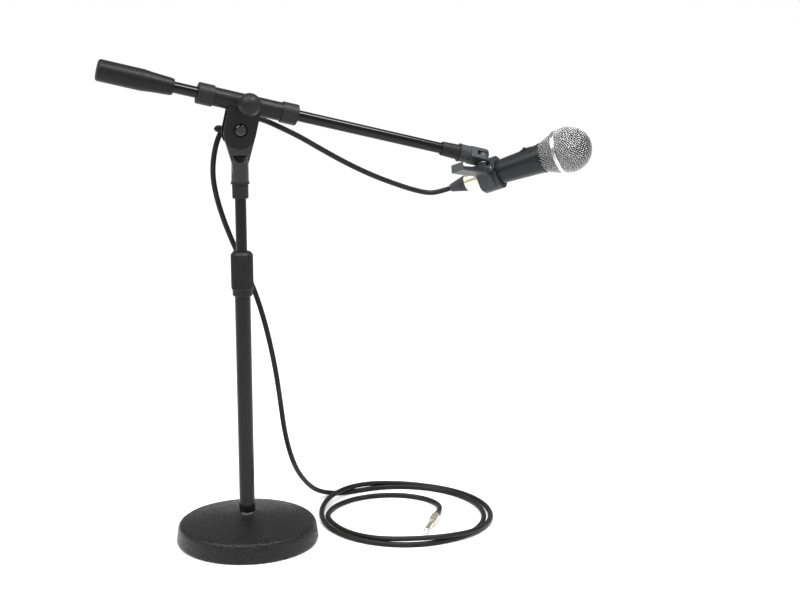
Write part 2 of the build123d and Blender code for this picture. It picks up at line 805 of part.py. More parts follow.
PIN_PITCH_R = 3.9
pin_floor = Plane(mic_zero + mic_dir * (INSERT_T[0] + 1), x_dir=jaw_out, z_dir=mic_dir)
with BuildPart() as xlr_pins:
    with BuildSketch(pin_floor):
        with PolarLocations(PIN_PITCH_R, 3, start_angle=90, angular_range=270):
            Circle(1.2)
    extrude(amount=INSERT_T[1] - 4 - INSERT_T[0] - 1)
finish(xlr_pins.part, "xlr_pins")

# switch on the microphone's upper side, which faces jaw_out turned towards the clip hinge
SWITCH_T = 49.5
SWITCH_ANGLE = -62.0
SWITCH_TRAVEL = 4.0
a = radians(SWITCH_ANGLE)
switch_up = jaw_out * cos(a) + jaw_down * sin(a)
SWITCH_R = 16.5  # handle radius there


def handle_core(grow):
    """Half section of the handle's tapered outside, larger by a clearance."""
    return outline(mic_side, [(0, -5), (13.9 + grow, 4), (17.0 + grow, COLLAR_T - 4), (0, 90)])


switch_face = Plane(mic_zero + mic_dir * SWITCH_T + switch_up * SWITCH_R, x_dir=mic_dir, z_dir=switch_up)
with BuildPart() as switch_plate:
    with BuildSketch(switch_face.offset(-1.4)):
        SlotOverall(15, 7.6)
        SlotOverall(9.0, 3.6, mode=Mode.SUBTRACT)
    extrude(amount=1.75)
    revolve(handle_core(0), axis=mic_axis, mode=Mode.SUBTRACT)
finish(switch_plate.part, "switch_plate")

with BuildPart() as switch_button:
    with BuildSketch(switch_face.offset(0.1)):
        with Locations((-SWITCH_TRAVEL / 2, 0)):
            SlotOverall(4.2, 2.9)
    extrude(amount=2.3)
    revolve(handle_core(0.55), axis=mic_axis, mode=Mode.SUBTRACT)
finish(switch_button.part, "switch_button")

# ---- cable connector on the microphone ----
SHELL_T = -35.5
BOOT_T = -56.5
SHELL_R = 9.7
with BuildPart() as connector_shell:
    revolve(
        outline(
            mic_side,
            [
                (8.0, REAR_T + 7),
                (8.0, SHELL_T),
                (SHELL_R - 0.6, SHELL_T),
                (SHELL_R, SHELL_T + 0.6),
                (SHELL_R, REAR_T - 3),
                (SHELL_R - 0.3, REAR_T - 2.4),
                (9.6, REAR_T + 1),
                (9.6, REAR_T + 7),
            ],
        ),
        axis=mic_axis,
    )
finish(connector_shell.part, "connector_shell")

with BuildPart() as connector_insert:
    revolve(outline(mic_side, ring(0, 8.0, SHELL_T + 4, REAR_T + 6)), axis=mic_axis)
    with BuildSketch(pin_floor):
        with PolarLocations(PIN_PITCH_R, 3, start_angle=90, angular_range=270):
            Circle(1.3)
    extrude(amount=20, both=True, mode=Mode.SUBTRACT)
finish(connector_insert.part, "connector_insert")

CABLE_R = CABLE_D / 2
with BuildPart() as connector_boot:
    revolve(
        outline(
            mic_side,
            [
                (0, BOOT_T),
                (4.4, BOOT_T),
                (4.9, BOOT_T + 1),
                (SHELL_R - 0.5, SHELL_T - 3),
                (SHELL_R - 0.2, SHELL_T - 2.2),
                (SHELL_R - 0.2, SHELL_T),
                (7.9, SHELL_T),
                (7.9, SHELL_T + 4),
                (0, SHELL_T + 4),
            ],
        ),
        axis=mic_axis,
    )
finish(connector_boot.part, "connector_boot")

LATCH_TRAVEL = 0.8
latch_up = -jaw_out
latch_at = mic_zero + mic_dir * (SHELL_T + 9) + latch_up * (SHELL_R + GAP)
latch_face = Plane(latch_at, x_dir=mic_dir, z_dir=latch_up)
with BuildPart() as latch_button:
    with BuildSketch(latch_face.offset(LATCH_TRAVEL)):
        RectangleRounded(9, 4.6, 1.2)
    extrude(amount=1.5)
finish(latch_button.part, "latch_button")

# ---- cable ----
COIL_AT = (199.0, 21.0)
COIL_R = (84.0, 116.5)
PLUG_AZIMUTH = -121.0
PLUG_R = 5.2
PLUG_SHAFT_R = 3.175
PLUG_START = (236.5, 5.5, PLUG_R)
RELIEF = 10.0
PLUG_BARREL = 26.0
PLUG_SHAFT = 29.0
boot_end = mic_zero + mic_dir * BOOT_T

# from the connector over the wing nut's stem, down behind the column and out to the coil
lead_route = [
    boot_end,
    boot_end - mic_dir * 14,
    (241.5, 56.5, 393.5),
    (222, 56.5, 398),
    (203, 53, 404.4),
    (176, 47, 414.5),
    (150, 40, 426),
    (126, 34, 438),
    (99, 28, 453),
    (74, 23, 467.5),
    (50.6, 19.5, 479),
    (30, 18.3, 488.5),
    (9, 18.1, 493),
    (-9, 18.2, 487.5),
    (-20.5, 18.4, 470),
    (-26, 19.4, 448),
    (-27.5, 20, 426),
    (-24, 20, 403),
    (-17, 20, 378),
    (-7, 20.5, 351),
    (5, 21, 324),
    (16.5, 20.5, 296),
    (26.5, 20, 264),
    (34.5, 20, 230),
    (41, 20.5, 195),
    (46, 22.5, 159),
    (51.5, 30, 123),
    (60.5, 45, 90),
    (74, 67, 57),
    (94, 94, 28),
    (112, 113, 11),
    (131, 122, CABLE_R),
    (152, 119, CABLE_R),
]
# from inside the coil round to the plug
tail_route = [
    (104, 27, CABLE_R),
    (109, 51, CABLE_R),
    (126, 75, CABLE_R),
    (153, 92, CABLE_R),
    (184, 97, CABLE_R),
    (213, 90, CABLE_R),
    (236, 73, CABLE_R),
    (248, 50, CABLE_R + 0.5),
    (248, 25, CABLE_R + 1.4),
    PLUG_START,
]


def cord_tube(route):
    """A round cord along the route's straight runs, joined by arcs as large as the runs allow."""
    points = [Vector(*p) for p in route]
    runs = [end - start for start, end in zip(points, points[1:])]
    radii = []
    for before, after in zip(runs, runs[1:]):
        turn = radians(before.get_angle(after))
        radii.append(0.45 * min(before.length, after.length) / tan(turn / 2))
    print("cord radii", [round(r) for r in radii], "runs", [round(run.length) for run in runs])
    with BuildPart() as tube:
        with BuildLine() as path:
            FilletPolyline(*points, radius=radii)
        with BuildSketch(Plane(points[0], z_dir=runs[0])):
            Circle(CABLE_R)
        sweep(path=path.line)
    length = path.wire().length
    section = pi * CABLE_R**2
    ratio = tube.part.volume / section / length
    print("cord length", round(length, 1), "volume over section times length", round(ratio, 4))
    return tube.part


finish(cord_tube(lead_route), "cable_lead")
finish(cord_tube(tail_route), "cable_tail")

with BuildPart() as cable_coil:
    with BuildSketch():
        with Locations(COIL_AT):
            Circle(COIL_R[1])
            Circle(COIL_R[0], mode=Mode.SUBTRACT)
    extrude(amount=COIL_LIFT)
finish(cable_coil.part, "cable_coil")

plug_start = Vector(*PLUG_START)
plug_dir = direction(PLUG_AZIMUTH, 0)
plug_side = Plane(plug_start, x_dir=(0, 0, 1), z_dir=Vector(0, 0, 1).cross(plug_dir))
plug_axis = Axis(plug_start, plug_dir)
shaft_start = RELIEF + PLUG_BARREL

with BuildPart() as plug_relief:
    revolve(
        outline(plug_side, [(0, 0), (3.6, 0), (4.4, RELIEF - 1), (4.4, RELIEF), (0, RELIEF)]),
        axis=plug_axis,
    )
finish(plug_relief.part, "plug_relief")

with BuildPart() as plug_barrel:
    revolve(
        outline(
            plug_side,
            [
                (0, RELIEF),
                (PLUG_R - 0.8, RELIEF),
                (PLUG_R, RELIEF + 1),
                (PLUG_R, shaft_start - 4),
                (PLUG_R - 0.3, shaft_start - 3),
                (PLUG_R - 0.3, shaft_start),
                (0, shaft_start),
            ],
        ),
        axis=plug_axis,
    )
finish(plug_barrel.part, "plug_barrel")

SLEEVE_END = shaft_start + 19
BAND_END = SLEEVE_END + 1.2
with BuildPart() as plug_sleeve:
    revolve(outline(plug_side, ring(0, PLUG_SHAFT_R, shaft_start, SLEEVE_END)), axis=plug_axis)
finish(plug_sleeve.part, "plug_sleeve")

with BuildPart() as plug_insulator:
    revolve(outline(plug_side, ring(0, PLUG_SHAFT_R, SLEEVE_END, BAND_END)), axis=plug_axis)
finish(plug_insulator.part, "plug_insulator")

with BuildPart() as plug_tip:
    end = shaft_start + PLUG_SHAFT
    revolve(
        outline(
            plug_side,
            [
                (0, BAND_END),
                (PLUG_SHAFT_R, BAND_END),
                (PLUG_SHAFT_R, BAND_END + 2.6),
                (2.2, end - 3.9),
                (PLUG_SHAFT_R - 0.2, end - 2.4),
                (0.9, end),
                (0, end),
            ],
        ),
        axis=plug_axis,
    )
finish(plug_tip.part, "plug_tip")
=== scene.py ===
import json
import math

import bmesh
import bpy
import numpy as np
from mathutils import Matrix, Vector


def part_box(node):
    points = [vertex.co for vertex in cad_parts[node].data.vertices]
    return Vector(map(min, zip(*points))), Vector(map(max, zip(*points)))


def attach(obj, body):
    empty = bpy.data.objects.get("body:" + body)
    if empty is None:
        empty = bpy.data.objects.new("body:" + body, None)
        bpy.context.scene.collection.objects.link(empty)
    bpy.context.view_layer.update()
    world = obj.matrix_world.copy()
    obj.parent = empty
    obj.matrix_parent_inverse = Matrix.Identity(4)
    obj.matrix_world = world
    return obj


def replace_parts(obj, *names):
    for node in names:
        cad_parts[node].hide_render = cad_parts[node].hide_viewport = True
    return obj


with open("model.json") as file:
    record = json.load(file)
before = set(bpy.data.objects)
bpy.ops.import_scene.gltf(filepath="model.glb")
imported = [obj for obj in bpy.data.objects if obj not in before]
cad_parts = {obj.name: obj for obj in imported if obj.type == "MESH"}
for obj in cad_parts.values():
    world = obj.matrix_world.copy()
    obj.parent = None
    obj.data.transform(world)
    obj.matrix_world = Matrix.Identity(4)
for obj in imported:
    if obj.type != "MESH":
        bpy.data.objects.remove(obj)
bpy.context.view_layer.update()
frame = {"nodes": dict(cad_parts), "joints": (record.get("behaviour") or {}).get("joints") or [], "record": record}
record = frame["record"]
joints = {joint["name"]: joint for joint in frame["joints"]}
slot_of = {part["node"]: part["material_slot"] for part in record["subparts"]}
body_of = {node: body for body, nodes in record["behaviour"]["bodies"].items() for node in nodes}
MM = 0.001

# ---- where the microphone is, from the frame's joints; distances in millimetres ----
MIC_BELOW = 17  # microphone axis from the clip hinge, across the jaws
MIC_BEYOND = 24  # and along them
BOOT_END = 56.5  # end of the connector's boot, back along the microphone
mic_dir = Vector(joints["mic_slide"]["axis"]).normalized()
jaw_out = Vector(joints["latch_press"]["axis"]).normalized()
jaw_down = mic_dir.cross(jaw_out)
clip_pivot = Vector(joints["clip_tilt"]["pos_m"])
mic_zero = clip_pivot + jaw_down * MIC_BELOW * MM - jaw_out * MIC_BEYOND * MM


# ---- camera and light ----
def add(name, data):
    thing = bpy.data.objects.new(name, data)
    bpy.context.scene.collection.objects.link(thing)
    return thing


def aim(thing, place, look):
    thing.location = place
    thing.rotation_euler = Vector(look).to_track_quat("-Z", "Y").to_euler()


LOOK = (0.2872, 0.9393, -0.1879)
camera = add("camera", bpy.data.cameras.new("camera"))
camera.data.sensor_width = 36
camera.data.lens = 61.31
camera.data.clip_end = 50
aim(camera, (-0.2733, -1.5043, 0.580), LOOK)
bpy.context.scene.camera = camera
view_dir = Vector((LOOK[0], LOOK[1], 0)).normalized()
right_dir = Vector((view_dir.y, -view_dir.x, 0))


def softbox(name, place, target, size, watts):
    lamp = bpy.data.lights.new(name, "AREA")
    lamp.shape = "RECTANGLE"
    lamp.size, lamp.size_y = size
    lamp.energy = watts
    aim(add(name, lamp), place, Vector(target) - Vector(place))


stand_middle = Vector((0.12, 0, 0.28))
softbox(
    "key_light",
    stand_middle - view_dir * 0.9 - right_dir * 1.1 + Vector((0, 0, 1.5)),
    stand_middle,
    (1.2, 0.8),
    16,
)
softbox(
    "fill_light",
    stand_middle - view_dir * 0.6 + right_dir * 1.5 + Vector((0, 0, 0.7)),
    stand_middle,
    (0.5, 1.2),
    4,
)

# the upper sides of the tubes and the facet of the neck mirror this one
softbox(
    "top_light",
    stand_middle + Vector((0.42, -0.48, 1.32)),
    stand_middle,
    (0.9, 0.35),
    24,
)

# broad and soft, it makes the floor evenly white as far as the horizon
sun = bpy.data.lights.new("sun", "SUN")
sun.energy = 3.1
sun.angle = math.radians(50)
aim(add("sun", sun), (0, 0, 3), view_dir * 0.35 + right_dir * 0.35 - Vector((0, 0, 1)))

# the backdrop is white, and the light that it throws on the object is softer
world = bpy.data.worlds.new("studio")
world.use_nodes = True
sky = world.node_tree.nodes
ambient = sky["Background"]
ambient.inputs["Color"].default_value = (1, 1, 1, 1)
ambient.inputs["Strength"].default_value = 0.4
backdrop = sky.new("ShaderNodeBackground")
backdrop.inputs["Color"].default_value = (1, 1, 1, 1)
backdrop.inputs["Strength"].default_value = 1.0
ray = sky.new("ShaderNodeLightPath")
either = sky.new("ShaderNodeMixShader")
join = world.node_tree.links.new
join(ray.outputs["Is Camera Ray"], either.inputs["Fac"])
join(ambient.outputs["Background"], either.inputs[1])
join(backdrop.outputs["Background"], either.inputs[2])
join(either.outputs["Shader"], sky["World Output"].inputs["Surface"])
bpy.context.scene.world = world
bpy.context.scene.view_settings.view_transform = "Standard"


# ---- materials ----
class Shader:
    """A Principled material under construction, whose patterns are sized in metres on the object."""

    def __init__(self, name, color, roughness, metallic=0.0, **sockets):
        self.material = bpy.data.materials.new(name)
        self.material.use_nodes = True
        self.tree = self.material.node_tree
        self.bsdf = self.tree.nodes["Principled BSDF"]
        self.place = self.node("TexCoord").outputs["Object"]
        self.set("Base Color", (*color, 1))
        self.set("Roughness", roughness)
        self.set("Metallic", metallic)
        for socket, value in sockets.items():
            self.set(socket.replace("_", " "), value)

    def node(self, kind, **values):
        made = self.tree.nodes.new("ShaderNode" + kind)
        for name, value in values.items():
            setattr(made, name, value)
        return made

    def set(self, socket, value):
        self.bsdf.inputs[socket].default_value = value

    def link(self, output, target):
        self.tree.links.new(output, target)

    def noise(self, size, detail=3.0, stretch=(1, 1, 1)):
        """A cloudy pattern whose features are about the given size."""
        scale = self.node("Mapping")
        scale.inputs["Scale"].default_value = [s / size for s in stretch]
        self.link(self.place, scale.inputs["Vector"])
        cloud = self.node("TexNoise")
        cloud.inputs["Scale"].default_value = 1.0
        cloud.inputs["Detail"].default_value = detail
        self.link(scale.outputs["Vector"], cloud.inputs["Vector"])
        return cloud.outputs["Fac"]

    def cells(self, size):
        """Distance to the edges of pebbles about the given size."""
        scale = self.node("Mapping")
        scale.inputs["Scale"].default_value = [1 / size] * 3
        self.link(self.place, scale.inputs["Vector"])
        pebbles = self.node("TexVoronoi", feature="SMOOTH_F1")
        pebbles.inputs["Scale"].default_value = 1.0
        self.link(scale.outputs["Vector"], pebbles.inputs["Vector"])
        return pebbles.outputs["Distance"]

    def map(self, pattern, low, high, start=0.3, stop=0.7):
        ranged = self.node("MapRange")
        for name, value in zip(("From Min", "From Max", "To Min", "To Max"), (start, stop, low, high)):
            ranged.inputs[name].default_value = value
        self.link(pattern, ranged.inputs["Value"])
        return ranged.outputs["Result"]

    def tint(self, pattern, dark, light, start=0.3, stop=0.7):
        """Base colour running between two colours with the pattern."""
        blend = self.node("Mix", data_type="RGBA")
        blend.inputs["A"].default_value = (*dark, 1)
        blend.inputs["B"].default_value = (*light, 1)
        self.link(self.map(pattern, 0, 1, start, stop), blend.inputs["Factor"])
        self.link(blend.outputs["Result"], self.bsdf.inputs["Base Color"])

    def vary_roughness(self, pattern, low, high):
        self.link(self.map(pattern, low, high), self.bsdf.inputs["Roughness"])

    def bump(self, *layers):
        """Relief of several patterns, each a pair of pattern and height in millimetres."""
        normal = None
        for pattern, height in layers:
            relief = self.node("Bump")
            relief.inputs["Strength"].default_value = 1.0
            relief.inputs["Distance"].default_value = height * MM
            self.link(pattern, relief.inputs["Height"])
            if normal:
                self.link(normal, relief.inputs["Normal"])
            normal = relief.outputs["Normal"]
        self.link(normal, self.bsdf.inputs["Normal"])


def painted(name, color, roughness, grain, depth, coat=0.0):
    """Powder coat or enamel: orange peel, a trace of dust and uneven gloss."""
    gloss = {"Coat_Weight": coat, "Coat_Roughness": 0.08, "Specular_IOR_Level": 0.14}
    shader = Shader(name, color, roughness, **gloss)
    dust = shader.noise(0.03, 5)
    shader.tint(dust, color, [c * 1.25 + 0.0012 for c in color])
    shader.vary_roughness(shader.noise(0.012, 4), roughness * 0.88, roughness * 1.15)
    shader.bump((shader.noise(grain * MM, 2), depth), (shader.noise(grain * 4 * MM, 1), depth * 1.5))
    return shader.material


def moulded(name, color, roughness, grain=0.35, depth=0.03):
    """Moulded plastic or rubber with a fine spark-eroded texture and handling marks."""
    shader = Shader(name, color, roughness, Specular_IOR_Level=0.16)
    shader.tint(shader.noise(0.018, 6), [c * 0.85 for c in color], [c * 1.3 + 0.001 for c in color])
    shader.vary_roughness(shader.noise(0.006, 4), roughness * 0.9, min(1.0, roughness * 1.12))
    shader.bump((shader.noise(grain * MM, 3), depth), (shader.cells(grain * 2.2 * MM), depth * 0.8))
    return shader.material


def metal(name, color, roughness, stretch=(1, 1, 1), depth=0.008):
    """Bare or plated metal with fine scratches and slightly cloudy plating."""
    shader = Shader(name, color, roughness, 1.0)
    shader.tint(shader.noise(0.004, 5), [c * 0.86 for c in color], color)
    shader.vary_roughness(shader.noise(0.0012, 5, stretch), roughness * 0.7, roughness * 1.35)
    shader.bump((shader.noise(0.0005, 3, stretch), depth))
    return shader.material


def cast_enamel():
    """Wrinkle-finish enamel on the cast base: raised pebbles, with painted shade darkening the hollows between
    them.
    """
    shader = Shader("base_paint", (0.006, 0.006, 0.006), 0.36, Specular_IOR_Level=0.25)
    pebbles = shader.cells(1.6 * MM)
    # painted shade: the colour runs darker from the raised pebble centres into the sunken hollows between them
    shader.tint(pebbles, (0.008, 0.008, 0.0085), (0.002, 0.002, 0.002), 0.1, 0.8)
    shader.vary_roughness(shader.noise(0.004, 4), 0.26, 0.44)
    shader.bump((pebbles, -0.75), (shader.noise(0.7 * MM, 3), 0.2), (shader.noise(7 * MM, 2), 0.25))
    return shader.material


def foam():
    shader = Shader("foam", (0.006, 0.006, 0.006), 1.0, Specular_IOR_Level=0.1)
    # painted shade: the sunken pores are painted darker than the raised cell walls around them
    shader.tint(shader.cells(0.7 * MM), (0.001, 0.001, 0.001), (0.012, 0.012, 0.012), 0.1, 0.7)
    shader.bump((shader.cells(0.7 * MM), 0.5), (shader.noise(0.3 * MM, 2), 0.1))
    return shader.material


def cable_jacket():
    """Soft PVC: satin, with a slight lengthwise waviness and a little dust."""
    shader = Shader("cable_jacket", (0.008, 0.008, 0.008), 0.4, Specular_IOR_Level=0.16)
    shader.tint(shader.noise(0.02, 6), (0.006, 0.006, 0.006), (0.014, 0.0135, 0.013))
    shader.vary_roughness(shader.noise(0.005, 4), 0.36, 0.52)
    shader.bump((shader.noise(0.4 * MM, 2), 0.015), (shader.noise(6 * MM, 2), 0.12))
    return shader.material


def microphone_enamel():
    """Satin enamel with a fine metallic fleck."""
    shader = Shader("satin_black_aluminium", (0.010, 0.0105, 0.012), 0.3, 0.1, Specular_IOR_Level=0.25)
    shader.tint(shader.noise(0.25 * MM, 2), (0.006, 0.0065, 0.0075), (0.018, 0.019, 0.021), 0.35, 0.75)
    shader.vary_roughness(shader.noise(0.015, 4), 0.3, 0.4)
    shader.bump((shader.noise(0.3 * MM, 2), 0.02))
    return shader.material


finishes = {
    "base_paint": cast_enamel(),
    "foot_rubber": moulded("foot_rubber", (0.02, 0.02, 0.02), 0.8),
    "zinc_steel": metal("zinc_steel", (0.72, 0.70, 0.66), 0.28),
    "tube_black": painted("tube_black", (0.003, 0.003, 0.0032), 0.16, 0.6, 0.008, 0.15),
    "matte_black_plastic": moulded("matte_black_plastic", (0.010, 0.010, 0.0105), 0.45),
    "nylon": moulded("nylon", (0.5, 0.48, 0.43), 0.5),
    "matte_black_metal": painted("matte_black_metal", (0.012, 0.012, 0.012), 0.42, 0.5, 0.03),
    "gloss_black_metal": painted("gloss_black_metal", (0.003, 0.003, 0.0035), 0.1, 1.2, 0.012, 0.9),
    "clamp_black_metal": painted("clamp_black_metal", (0.008, 0.008, 0.0085), 0.4, 0.5, 0.03),
    "fibre": moulded("fibre", (0.16, 0.14, 0.12), 0.85),
    "grip_rubber": moulded("grip_rubber", (0.006, 0.006, 0.006), 0.42, 0.5, 0.02),
    "brass": metal("brass", (0.80, 0.60, 0.30), 0.25),
    "clip_plastic": moulded("clip_plastic", (0.028, 0.029, 0.031), 0.42),
    "pad_rubber": moulded("pad_rubber", (0.03, 0.03, 0.03), 0.75),
    "satin_black_aluminium": microphone_enamel(),
    "grille_wire": metal("grille_wire", (0.44, 0.44, 0.44), 0.26),
    "bright_band": metal("bright_band", (0.6, 0.6, 0.6), 0.24),
    "foam": foam(),
    "capsule_steel": metal("capsule_steel", (0.55, 0.55, 0.56), 0.4),
    "insulator": moulded("insulator", (0.02, 0.02, 0.02), 0.35),
    "pin_brass": metal("pin_brass", (0.86, 0.70, 0.40), 0.2),
    "switch_plastic": moulded("switch_plastic", (0.02, 0.02, 0.022), 0.4),
    "satin_nickel": metal("satin_nickel", (0.86, 0.79, 0.64), 0.32, depth=0.03),
    "boot_rubber": moulded("boot_rubber", (0.035, 0.035, 0.037), 0.55),
    "cable_jacket": cable_jacket(),
    "plug_plating": metal("plug_plating", (0.86, 0.84, 0.78), 0.16),
}


# ---- builders ----
def made_of(piece, slot, material=None):
    """Gives a piece the procedural material of its record slot, or the material given."""
    piece.data.materials.clear()
    piece.data.materials.append(material or finishes[slot])


def smooth_mesh(name, verts, faces):
    mesh = bpy.data.meshes.new(name)
    mesh.from_pydata(verts, [], faces)
    mesh.shade_smooth()
    return add(name, mesh)


def refine(node, bevel=0.3, segments=2, sharp=28):
    """The node's shape with its flat faces made whole and its edges rounded, in millimetres and degrees."""
    mesh = bmesh.new()
    mesh.from_mesh(frame["nodes"][node].data)
    bmesh.ops.remove_doubles(mesh, verts=mesh.verts, dist=1e-6)
    bmesh.ops.dissolve_limit(mesh, angle_limit=math.radians(0.4), verts=mesh.verts, edges=mesh.edges)
    index = {vert: i for i, vert in enumerate(mesh.verts)}
    verts = [vert.co[:] for vert in mesh.verts]
    faces = [[index[vert] for vert in face.verts] for face in mesh.faces]
    mesh.free()
    piece = smooth_mesh(node + "_finished", verts, faces)
    round_off = piece.modifiers.new("round_off", "BEVEL")
    round_off.width = bevel * MM
    round_off.segments = segments
    round_off.limit_method = "ANGLE"
    round_off.angle_limit = math.radians(sharp)
    piece.modifiers.new("even_normals", "WEIGHTED_NORMAL").keep_sharp = True
    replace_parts(piece, node)
    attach(piece, body_of[node])
    made_of(piece, slot_of[node])
    return piece


def tubes(name, paths, radius, sides=6):
    """One mesh of round wires along the paths, each a list of points with the way up at each."""
    verts, faces = [], []
    for points, ups in paths:
        points, ups = np.array(points), np.array(ups)
        along = np.gradient(points, axis=0)
        along /= np.linalg.norm(along, axis=1)[:, None]
        out = np.cross(along, ups)
        out /= np.linalg.norm(out, axis=1)[:, None]
        up = np.cross(out, along)
        start = len(verts)
        for point, o, u in zip(points, out, up):
            for k in range(sides):
                turn = 2 * math.pi * k / sides
                verts.append(point + radius * (math.cos(turn) * o + math.sin(turn) * u))
        for i in range(len(points) - 1):
            for k in range(sides):
                a, b = start + i * sides, start + i * sides + (k + 1) % sides
                faces.append((a + k, b, b + sides, a + k + sides))
        faces.append(tuple(range(start, start + sides))[::-1])
        last = start + (len(points) - 1) * sides
        faces.append(tuple(range(last, last + sides)))
    return smooth_mesh(name, verts, faces)


def lathe(name, profile, origin, axis, steps=96):
    """A surface turned about an axis from (radius, distance along it) points in millimetres."""
    side = axis.orthogonal().normalized()
    other = axis.cross(side)
    verts, faces = [], []
    for radius, along in profile:
        for k in range(steps):
            turn = 2 * math.pi * k / steps
            spoke = side * math.cos(turn) + other * math.sin(turn)
            verts.append(origin + axis * along * MM + spoke * radius * MM)
    for i in range(len(profile) - 1):
        for k in range(steps):
            a, b = i * steps + k, i * steps + (k + 1) % steps
            faces.append((a, b, b + steps, a + steps))
    return smooth_mesh(name, verts, faces)


# ---- cable: from the connector over the wing nut's stem, down to the coil, round it, to the plug ----
CABLE_D = 6.2
ON_FLOOR = 3.1  # height of the cable's centreline where it lies on the floor
boot_end = (mic_zero - mic_dir * BOOT_END * MM) / MM
COIL_AT = Vector((199.0, 21.0))
lead_route = [
    boot_end[:],
    (boot_end - mic_dir * 14)[:],
    (241.5, 56.5, 393.5),
    (222, 56.5, 398),
    (203, 53, 404.4),
    (176, 47, 414.5),
    (150, 40, 426),
    (126, 34, 438),
    (99, 28, 453),
    (74, 23, 467.5),
    (50.6, 19.5, 479),
    (30, 18.3, 488.5),
    (9, 18.1, 493),
    (-9, 18.2, 487.5),
    (-20.5, 18.4, 470),
    (-26, 19.4, 448),
    (-27.5, 20, 426),
    (-24, 20, 403),
    (-17, 20, 378),
    (-7, 20.5, 351),
    (5, 21, 324),
    (16.5, 20.5, 296),
    (26.5, 20, 264),
    (34.5, 20, 230),
    (41, 20.5, 195),
    (46, 22.5, 159),
    (51.5, 30, 123),
    (60.5, 45, 90),
    (74, 67, 57),
    (94, 94, 28),
    (112, 113, 11),
    (131, 122, ON_FLOOR),
    (152, 119, ON_FLOOR),
]
tail_route = [
    (104, 27, ON_FLOOR),
    (109, 51, ON_FLOOR),
    (126, 75, ON_FLOOR),
    (153, 92, ON_FLOOR),
    (184, 97, ON_FLOOR),
    (213, 90, ON_FLOOR),
    (236, 73, ON_FLOOR),
    (248, 50, 3.6),
    (248, 25, 4.5),
    (236.5, 5.5, 5.2),
]
COIL_START = 115.6  # degrees, where the lead meets the ring
COIL_SWEEP = 659.0
COIL_STEPS = 25
COIL_WIDTH = 0.96  # the turns are this much narrower than deep
# radius of the loose turns and height of their centreline against the angle swept so far
SWEPT = (0, 60, 120, 150, 207, 265, 300, 343, 370, 400, 480, 510, 567, 625, 659)
RADII = (108.7, 104.5, 103, 103.5, 106.5, 109, 108.5, 109.5, 111.5, 112.8, 113, 112, 106, 99, 95)
RAISED = (0, 290, 317, 343, 370, 396, 420, 500, 528, 554, 581, 608, 635, 659)
HEIGHTS = (3.1, 3.1, 5.6, 9.7, 9.7, 5.6, 3.1, 3.1, 5.8, 9.8, 9.8, 5.8, 3.1, 3.1)


def coil_route():
    """Two loose turns of different size, clockwise from above, the second laid over the first."""
    points = []
    for step in range(1, COIL_STEPS):
        swept = COIL_SWEEP * step / COIL_STEPS
        angle = math.radians(COIL_START - swept)
        radius = np.interp(swept, SWEPT, RADII)
        spot = COIL_AT + Vector((COIL_WIDTH * math.cos(angle), math.sin(angle))) * radius
        points.append((spot.x, spot.y, np.interp(swept, RAISED, HEIGHTS)))
    return points


def cable():
    curve = bpy.data.curves.new("cable", "CURVE")
    curve.dimensions = "3D"
    curve.bevel_depth = CABLE_D / 2 * MM
    curve.bevel_resolution = 5
    curve.use_fill_caps = True
    spline = curve.splines.new("NURBS")
    route = lead_route + coil_route() + tail_route
    spline.points.add(len(route) - 1)
    for point, place in zip(spline.points, route):
        point.co = (*(float(c) * MM for c in place), 1)
    spline.order_u = 3
    spline.use_endpoint_u = True
    spline.resolution_u = 10
    return add("cable", curve)


flex = cable()
made_of(flex, "cable_jacket")
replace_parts(flex, "cable_lead", "cable_coil", "cable_tail")
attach(flex, "stand")


def measured(curve):
    """Length of a curve's own line, in metres."""
    plain = curve.copy()
    plain.data = curve.data.copy()
    plain.data.bevel_depth = 0
    line = bpy.data.meshes.new_from_object(plain)
    points = [vert.co.copy() for vert in line.vertices]
    bpy.data.objects.remove(plain)
    return sum((b - a).length for a, b in zip(points, points[1:]))


# ---- every shown CAD piece with its edges rounded ----
rounding = {
    "base_casting": (0.9, 3),
    "base_feet": (0.5, 2),
    "base_stud": (0.3, 2),
    "lower_tube": (0.25, 2),
    "upper_tube": (0.25, 2),
    "clutch_core": (0.2, 2),
    "clutch_sleeve": (0.25, 2),
    "column_collar": (0.4, 3),
    "collar_lip": (0.5, 3),
    "swivel_head": (0.6, 3),
    "clamp_bracket": (0.8, 3),
    "tbar_tube": (0.35, 2),
    "boom_bush_rear": (0.5, 3),
    "boom_bush_front": (0.5, 3),
    "friction_discs": (0.1, 1),
    "pivot_bolt": (0.3, 2),
    "clamp_knob": (0.2, 2),
    "boom_tube": (0.25, 2),
    "boom_grip": (0.5, 3),
    "boom_ferrule": (0.35, 2),
    "fork_barrel": (0.5, 3),
    "hinge_screw": (0.2, 2),
    "hinge_nut": (0.3, 2),
    "clip_jaw_fixed": (0.4, 3),
    "clip_pin": (0.2, 2),
    "clip_jaw_moving": (0.4, 3),
    "pad_fixed": (0.2, 2),
    "pad_moving": (0.2, 2),
    "mic_handle": (0.3, 2),
    "grille_collar": (0.25, 2),
    "grille_band": (0.2, 2),
    "switch_plate": (0.2, 2),
    "switch_button": (0.3, 3),
    "connector_shell": (0.25, 2),
    "connector_boot": (0.4, 3),
    "latch_button": (0.3, 2),
    "plug_relief": (0.3, 2),
    "plug_barrel": (0.25, 2),
    "plug_sleeve": (0.1, 1),
    "plug_insulator": (0.1, 1),
    "plug_tip": (0.15, 2),
}
finished = {node: refine(node, *size) for node, size in rounding.items()}
for node in ("tbar_tube", "clamp_bracket"):
    made_of(finished[node], slot_of[node], finishes["clamp_black_metal"])
for node, shown in frame["nodes"].items():
    if node not in rounding:
        shown.data.materials.clear()
        shown.data.materials.append(finishes[slot_of[node]])


